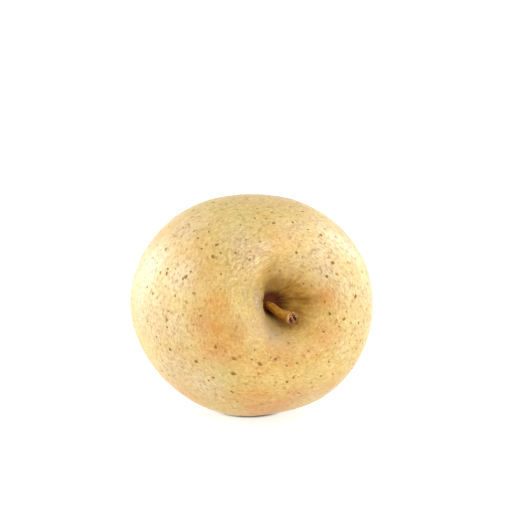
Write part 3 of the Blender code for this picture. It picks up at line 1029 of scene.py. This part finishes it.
def build_stem(material):
    """The stem as a tube of rings across its middle line, with lengthwise ridges, lumps and
    ring scars under the knob. The rings then close over the torn end, a rough slanting face
    with pits, where the radius falls to nothing and the depth is
    slant (1 + cos(turn)) + noise + the greatest of depth exp(-(uneven gap / radius)^4)."""
    way = np.concatenate((np.linspace(0, 1, STEM_ROWS), np.ones(STEM_FACE_ROWS)))
    closing = np.concatenate((np.ones(STEM_ROWS), np.linspace(0.97, 0, STEM_FACE_ROWS)))[:, None]
    face = np.concatenate((np.zeros(STEM_ROWS), np.ones(STEM_FACE_ROWS)))[:, None]
    centre, girth = stem_path(way)
    tangent = np.gradient(centre[:STEM_ROWS], axis=0)
    tangent = unit(np.vstack((tangent, np.tile(tangent[-1], (STEM_FACE_ROWS, 1)))))
    side = unit(np.cross((0.0, 1.0, 0.0), tangent))
    up = np.cross(tangent, side)
    turn, share = np.meshgrid(round_turn(STEM_COLUMNS), way)
    out = np.cos(turn)[..., None] * side[:, None] + np.sin(turn)[..., None] * up[:, None]

    bark = round_axis(turn, BARK_RADIUS, share * BARK_LENGTH)
    ridges = noise_sum(bark, BARK_RIDGES)
    lumps = noise_sum(centre[:, None] + 2 * out, BARK_LUMPS)
    scars = SCAR_DEPTH * sum(np.exp(-(((share - at) / SCAR_HALF_WIDTH) ** 2)) for at in RING_SCARS)
    ragged = noise_sum(bark, RAGGED_TIP) * smooth_step(RAGGED_FROM, 1.0, share)
    rounded = ROUNDED_RIM * smooth_step(RIM_FROM, 1.0, share)
    root = np.sqrt(np.clip(1 - (1 - share / ROUNDED_ROOT).clip(0, 1) ** 2, 0, 1))
    slim = ROOT_GIRTH + GIRTH_GAIN * smooth_step(*GIRTH_GAINED, share)
    radius = girth[:, None] * (slim + ridges + lumps - scars + ragged - rounded) * root
    radius = radius * closing

    end_place = round_axis(turn, radius, 0)
    across, above, _ = np.moveaxis(end_place, -1, 0)
    torn = END_ROUGHNESS + noise_sum(end_place, END_NOISE)
    slant = END_SLANT * (1 + np.cos(turn - math.radians(END_SLANT_DEG)) * closing)
    depth = (slant + torn) * smooth_step(SINKS_FROM, 1.0, share)
    uneven = PIT_TIGHTNESS + PIT_UNEVENNESS * torn
    pits = np.zeros(turn.shape)
    for pit_side, pit_up, pit_radius, pit_depth in END_PITS:
        gap = np.hypot(across - pit_side, above - pit_up) / pit_radius * uneven
        pits = np.maximum(pits, np.exp(-(gap**4)) * pit_depth)
    pits = pits * face
    grid = centre[:, None] + out * radius[..., None]
    grid = grid - tangent[:, None] * (depth + pits)[..., None]
    traits = {
        "fruit_place": grid,
        "stem_flow": round_axis(turn, 1, share),
        "stem_end": stacked(face, pits, radius),
    }
    stem = new_piece("stem_wood", grid, material, traits)
    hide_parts("stem")


# Colours of the stem
ROOT_BARK = linear(194, 104, 20)
BARK = linear(180, 129, 36)
# A painted highlight along the stem's upper side and painted shade along its underside
PAINTED_HIGHLIGHT_BARK = linear(218, 168, 76)
PAINTED_SHADE_BARK = linear(134, 70, 18)
FIBRE_BROWN = linear(120, 66, 20)
PATCH_BROWN = linear(136, 70, 22)
TIP_PINK = linear(206, 160, 118)
DARK_WOOD = linear(114, 67, 38)
PALE_WOOD = linear(184, 126, 84)
# Painted shade on the lower part of the torn end
LOWER_END_SHADE = linear(112, 72, 28)
PIT_BROWN = linear(82, 42, 20)


def stem_material():
    """Woody bark: orange-brown at the root, olive with a painted highlight on the upper side,
    painted shade below, and a torn end of pinkish wood with dark pits, its lower part in painted
    shade."""
    wood = Recipe("stem_bark", 0.55, **{"Specular IOR Level": 0.3})
    place = wood.trait("fruit_place")
    turn_x, turn_y, way = wood.parts(wood.trait("stem_flow"))
    face, pits, radius = wood.parts(wood.trait("stem_end"))
    lines = wood.vector(turn_x * 3, turn_y * 3, way * 3)
    fibre = wood.noise(lines, 0.45, detail=3, roughness=0.65)
    patch = wood.noise(place, 1.6, detail=2)
    grain = wood.noise(place, 0.35, detail=2, roughness=0.6)
    upper_end = (turn_y * radius).step(-1.5, -0.5)
    tip = way.step(0.84, 0.97) * grain.step(0.35, 0.6) * upper_end
    heartwood = wood.mix(grain.step(0.4, 0.6), DARK_WOOD, PALE_WOOD)
    colour = wood.coats(
        ROOT_BARK,
        (way.step(0.15, 0.5), BARK),
        # Painted highlight on the upper side and painted shade below
        (turn_y.step(-0.1, 0.9) * 0.7, PAINTED_HIGHLIGHT_BARK),
        (turn_y.step(0.2, -0.7) * 0.9, PAINTED_SHADE_BARK),
        (fibre.step(0.5, 0.7) * 0.45, FIBRE_BROWN),
        (patch.step(0.52, 0.7) * 0.55, PATCH_BROWN),
        (tip * 0.6, TIP_PINK),
        (face * upper_end * radius.step(2.2, 1.7), heartwood),
        # Painted shade on the lower part of the torn end
        (face * (1 - upper_end) * 0.8, LOWER_END_SHADE),
        (pits.step(0.1, 0.6), PIT_BROWN),
    )
    normal = wood.bump(fibre * 0.7 + grain * 0.5, 0.00018, 0.8)
    return wood.finish(Base_Color=colour, Normal=normal)


# The calyx, its form as in the part

CALYX_TUBE_RADIUS = 3.1
CALYX_TUBE_SUNK = 2.0
CALYX_TUBE_PROUD = 0.9
SEPAL_COUNT = 5
SEPAL_LENGTH = 7.2
SEPAL_HALF_WIDTH = 1.9
SEPAL_ROOT_RADIUS = 2.2
SEPAL_ROOT_SUNK = 0.4
SEPAL_LEAN_OUT = 5.0
SEPAL_EDGE_ROLL = 0.4
SEPAL_UNEVEN_LENGTH = 0.09
SEPAL_UNEVEN_TURN = 0.07
SEPAL_ROWS = 40
SEPAL_COLUMNS = 36

# The sepals' finer forms, in mm, but the nibbled edge, which is a share of the width
SEPAL_THICKNESS = 0.24
SEPAL_MIDRIB = 0.10
SEPAL_VEINS = 0.02
SEPAL_CURL = 0.9
SEPAL_NIBBLE = ((0.10, 1, 21),)
SEPAL_CRUMPLE = ((0.16, 1.4, 22),)

# The tube's half outline from the middle over the rim to under the skin: radius and height
CALYX_TUBE_OUTLINE = (
    (0.0, 0.3),
    (1.0, 0.25),
    (1.9, 0.1),
    (2.3, -0.35),
    (2.6, 0.05 - CALYX_TUBE_PROUD),
    (3.0, 0.15 - CALYX_TUBE_PROUD),
    (3.2, -0.2),
    (CALYX_TUBE_RADIUS, CALYX_TUBE_SUNK - 0.1),
    (0.0, CALYX_TUBE_SUNK - 0.1),
)
CALYX_TUBE_ROWS = 41
CALYX_TUBE_COLUMNS = 96

# The stamens: radii, rings, bends and lengths in mm, and the drift round the axis in radians
STAMEN_SEED = 41
STAMEN_COUNT = 20
STAMEN_ROWS = 14
STAMEN_COLUMNS = 8
STAMEN_RADIUS = 0.13
ANTHER_SWELL = 0.16
STAMEN_RING = 1.55
STYLE_RING = 0.35
RING_STRAY = 0.15
STAMEN_BENDS = (-0.4, 1.1)
STAMEN_DRIFT = 0.6
STAMEN_LENGTHS = (2.0, 3.1)
STAMEN_ROOT_SUNK = 0.4


def build_sepals(material):
    """Five dried sepals that stand round the calyx tube and curl outwards. Each is a flattened
    tube: its middle line leans out by (1 - cos) and rises by sin, its half-width is
    (0.52 + 1.3 s)(1 - s^1.5) + 0.06 of the widest, and its edges roll back. A midrib and fine
    veins stand out of the outer side, and the edges are nibbled by noise."""
    index = np.arange(SEPAL_COUNT)[:, None, None]
    along = np.linspace(0, 1, SEPAL_ROWS)[:, None]
    turns = round_turn(SEPAL_COLUMNS)
    across = np.cos(turns)
    spread = stacked(across * 1.5, along * 9, index * 5.0)
    taper = (0.52 + 1.3 * along) * (1 - along**1.5) + 0.06
    taper = taper * (1 + noise_sum(spread, SEPAL_NIBBLE))
    side = SEPAL_HALF_WIDTH * taper * across
    roll = SEPAL_EDGE_ROLL * across**2 * taper + noise_sum(spread, SEPAL_CRUMPLE) * along
    curl = SEPAL_CURL * along**6
    lean = SEPAL_ROOT_RADIUS + SEPAL_LEAN_OUT * (1 - np.cos(along * math.pi / 2)) - roll
    midrib = SEPAL_MIDRIB * np.exp(-((across / 0.16) ** 2)) * (1 - along)
    veins = SEPAL_VEINS * np.cos(across * 22 + along * 3)
    thick = SEPAL_THICKNESS * np.sqrt(np.clip(1 - (2 * along - 1) ** 12, 0, 1))
    through = np.sin(turns) * thick + np.where(np.sin(turns) > 0, midrib + veins, 0)
    lean = lean + through - 0.4 * curl
    length = SEPAL_LENGTH * (1 + SEPAL_UNEVEN_LENGTH * np.cos(2.1 * index))
    rise = length * 0.62 * np.sin(along * math.pi * 0.55) - curl
    turn = 2 * math.pi * index / SEPAL_COUNT + SEPAL_UNEVEN_TURN * np.sin(1.9 * index + 0.5)
    x = lean * np.cos(turn) - side * np.sin(turn)
    y = lean * np.sin(turn) + side * np.cos(turn)
    grid = stacked(x, y, basin_floor() + SEPAL_ROOT_SUNK - rise)
    traits = {"fruit_place": grid, "sepal_flow": stacked(across, along, np.sin(turns))}
    sepals = new_piece("sepals", grid, material, traits)
    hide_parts("calyx")


def build_calyx_tube(material):
    """The rim that the sepals grow from: its half outline turned about the axis, crinkled by
    cosines of many turns, with a wavy wall."""
    outline = np.array(CALYX_TUBE_OUTLINE)
    numbers = np.arange(len(outline))
    rows = np.linspace(0, len(outline) - 1, CALYX_TUBE_ROWS)
    radius = np.interp(rows, numbers, outline[:, 0])[:, None]
    height = np.interp(rows, numbers, outline[:, 1])[:, None]
    angle = round_turn(CALYX_TUBE_COLUMNS)
    wall = np.exp(-(((radius - 2.7) / 0.5) ** 2))
    crinkled = radius * (1 + 0.03 * np.cos(23 * angle) + 0.02 * np.cos(37 * angle + 1))
    z = basin_floor() + height + 0.10 * wall * np.cos(10 * angle)
    grid = round_axis(angle, crinkled, z)
    traits = {"fruit_place": grid, "sepal_flow": round_axis(angle, 1, wall)}
    tube = new_piece("calyx_tube", grid, material, traits)
    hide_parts("calyx")


def build_stamens(material):
    """Dried stamens: thin tubes that start in a ring inside the calyx, bend inwards and end in
    a small anther, and the stumps of the styles in the middle."""
    draw = np.random.default_rng(STAMEN_SEED)

    def drawn(low, high):
        return draw.uniform(low, high, STAMEN_COUNT)[:, None, None]

    number = np.arange(STAMEN_COUNT)[:, None, None]
    ring = np.where(number % 4 == 0, STYLE_RING, STAMEN_RING) + drawn(-RING_STRAY, RING_STRAY)
    bend = drawn(*STAMEN_BENDS)
    drift = drawn(-STAMEN_DRIFT, STAMEN_DRIFT)
    tall = drawn(*STAMEN_LENGTHS)
    along = np.linspace(0, 1, STAMEN_ROWS)[:, None]
    turns = round_turn(STAMEN_COLUMNS)
    inwards = ring - bend * along**2
    angle = number * GOLDEN_ANGLE + drift * along**1.5
    anther = np.exp(-(((along - 0.9) / 0.08) ** 2))
    closed = np.sqrt(np.clip(1 - (2 * along - 1) ** 16, 0, 1))
    girth = (STAMEN_RADIUS + ANTHER_SWELL * anther) * closed
    x = inwards * np.cos(angle) + girth * np.cos(turns)
    y = inwards * np.sin(angle) - girth * np.sin(turns)
    grid = stacked(x, y, basin_floor() + STAMEN_ROOT_SUNK - tall * along)
    traits = {"fruit_place": grid, "sepal_flow": stacked(np.cos(turns), along, anther)}
    stamens = new_piece("stamens", grid, material, traits)
    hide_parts("calyx")


def sepal_material():
    """Papery grey-brown sepals, darker towards tip and edges, with fine veins."""
    dry = Recipe("dried_sepal", 0.85)
    place = dry.trait("fruit_place")
    across, along, _ = dry.parts(dry.trait("sepal_flow"))
    veins = dry.noise(dry.vector(across * 4, along, 0), 0.5, detail=2)
    patch = dry.noise(place, 0.9, detail=3)
    colour = dry.coats(
        linear(156, 132, 92),
        (patch.step(0.35, 0.65), linear(122, 92, 56)),
        (along.step(0.5, 1.0) * 0.7, linear(84, 56, 32)),
        (abs(across).step(0.7, 1.0) * 0.5, linear(92, 62, 36)),
        (veins.step(0.5, 0.7) * 0.5, linear(86, 60, 36)),
    )
    normal = dry.bump(veins * 0.6 + patch * 0.6, 0.0002, 0.8)
    return dry.finish(Base_Color=colour, Normal=normal)


def dark_calyx_material(name, light_colour, dark_colour):
    """Brown dried tissue, mottled."""
    dry = Recipe(name, 0.8)
    patch = dry.noise(dry.trait("fruit_place"), 0.7, detail=3)
    colour = dry.mix(patch.step(0.35, 0.65), light_colour, dark_colour)
    return dry.finish(Base_Color=colour, Normal=dry.bump(patch, 0.0002, 0.7))


# The studio

FLOOR_SIZE = 60
FLOOR_GAP = 0.0001
FLOOR_GREY = (0.42, 0.42, 0.42, 1)
FLOOR_GLOW = 0.7
BLACK = (0, 0, 0, 1)
WHITE = (1, 1, 1, 1)

# Distances in metres from the place where the fruit touches the floor, between which the
# floor's glow grows from nothing to full: a painted contact shadow
CONTACT_SHADE = (0.0080, 0.0118)

# The world's strength near the horizon and overhead, and the heights between which it changes,
# as the upward parts of a direction
HORIZON_STRENGTH = 1.1
OVERHEAD_STRENGTH = 0.66
WORLD_HEIGHTS = (0.08, 0.7)

# The square lights: name, place, size and power
SOFT_BOXES = (
    ("left_box", (-0.70, 0.38, 0.26), 0.7, 5.2),
    ("right_box", (0.74, -0.16, 0.42), 0.7, 3.4),
    ("left_rim", (-0.45, 0.66, 0.20), 0.4, 2.4),
    ("right_rim", (0.75, 0.17, 0.36), 0.4, 1.6),
    ("front_box", (0.16, -0.70, 0.37), 0.4, 2.2),
)


def build_floor():
    """A plain white floor with a glow of its own, so that it stays white far away. The glow
    fades out where the fruit touches the floor, which paints a dark contact shadow."""
    constants = {"Base Color": FLOOR_GREY, "Emission Strength": FLOOR_GLOW}
    paint = Recipe("floor_white", 0.9, **constants)
    place = paint.add("ShaderNodeTexCoord", {}, output="Object")
    away = paint.add("ShaderNodeVectorMath", {"operation": "LENGTH"}, place, output="Value")
    paint.finish(Emission_Color=paint.mix(away.step(*CONTACT_SHADE), BLACK, WHITE))
    bpy.ops.mesh.primitive_plane_add(size=FLOOR_SIZE, location=(0, 0, -FLOOR_GAP))
    floor = bpy.context.object
    floor.name = "studio_floor"
    floor.data.materials.append(paint.material)


def soft_box(name, place, size, power):
    """A square area light that faces the apple."""
    light = bpy.data.lights.new(name, "AREA")
    light.size = size
    light.energy = power
    box = new_object(name, light)
    box.location = place
    aim = Vector((0, 0, AXIS_HEIGHT)) - Vector(place)
    box.rotation_euler = aim.to_track_quat("-Z", "Y").to_euler()


def light_studio():
    """A white world that is brighter near the horizon than overhead, and the soft boxes."""
    world = bpy.data.worlds.new("white_room")
    bpy.context.scene.world = world
    world.use_nodes = True
    nodes = world.node_tree.nodes
    links = world.node_tree.links
    background = nodes["Background"]
    background.inputs["Color"].default_value = WHITE
    direction = nodes.new("ShaderNodeTexCoord")
    parts = nodes.new("ShaderNodeSeparateXYZ")
    fall = nodes.new("ShaderNodeMapRange")
    fall.interpolation_type = "SMOOTHSTEP"
    fall.inputs["From Min"].default_value = WORLD_HEIGHTS[0]
    fall.inputs["From Max"].default_value = WORLD_HEIGHTS[1]
    fall.inputs["To Min"].default_value = HORIZON_STRENGTH
    fall.inputs["To Max"].default_value = OVERHEAD_STRENGTH
    links.new(direction.outputs["Generated"], parts.inputs[0])
    links.new(parts.outputs["Z"], fall.inputs["Value"])
    links.new(fall.outputs["Result"], background.inputs["Strength"])
    for name, place, size, power in SOFT_BOXES:
        soft_box(name, place, size, power)


def place_camera():
    """The camera looks along the photograph's direction at the point that puts the fruit's
    axis on its pixel."""
    azimuth = math.radians(VIEW_AZIMUTH_DEG)
    elevation = math.radians(VIEW_ELEVATION_DEG)
    right = Vector((math.cos(azimuth), math.sin(azimuth), 0))
    level = Vector((math.sin(azimuth), -math.cos(azimuth), 0))
    back = level * math.cos(elevation) + Vector((0, 0, math.sin(elevation)))
    up = back.cross(right)
    middle = PICTURE_PIXELS / 2
    axis_x, axis_y, _ = RESTING_SHIFT / MM_IN_METRE
    on_axis = Vector((axis_x, axis_y, AXIS_HEIGHT))
    across = right * (middle - AXIS_PIXEL[0]) - up * (middle - AXIS_PIXEL[1])
    place = on_axis + across * PIXEL_SIZE + back * VIEW_DISTANCE
    data = bpy.data.cameras.new("photo_camera")
    data.sensor_width = SENSOR_WIDTH
    data.lens = SENSOR_WIDTH * VIEW_DISTANCE / (PICTURE_PIXELS * PIXEL_SIZE)
    data.clip_start = NEAREST_SEEN
    camera = new_object("photo_camera", data)
    turned = Matrix((right, up, back)).transposed().to_4x4()
    camera.matrix_world = Matrix.Translation(place) @ turned
    bpy.context.scene.camera = camera
    bpy.context.scene.view_settings.view_transform = "Standard"


# The scene

place_camera()
light_studio()
build_floor()
build_skin(skin_material())
build_lenticels(lenticel_material())
build_stem(stem_material())
build_sepals(sepal_material())
build_calyx_tube(dark_calyx_material("calyx_rim", linear(128, 98, 58), linear(84, 60, 34)))
build_stamens(dark_calyx_material("dried_stamen", linear(110, 80, 46), linear(64, 42, 24)))
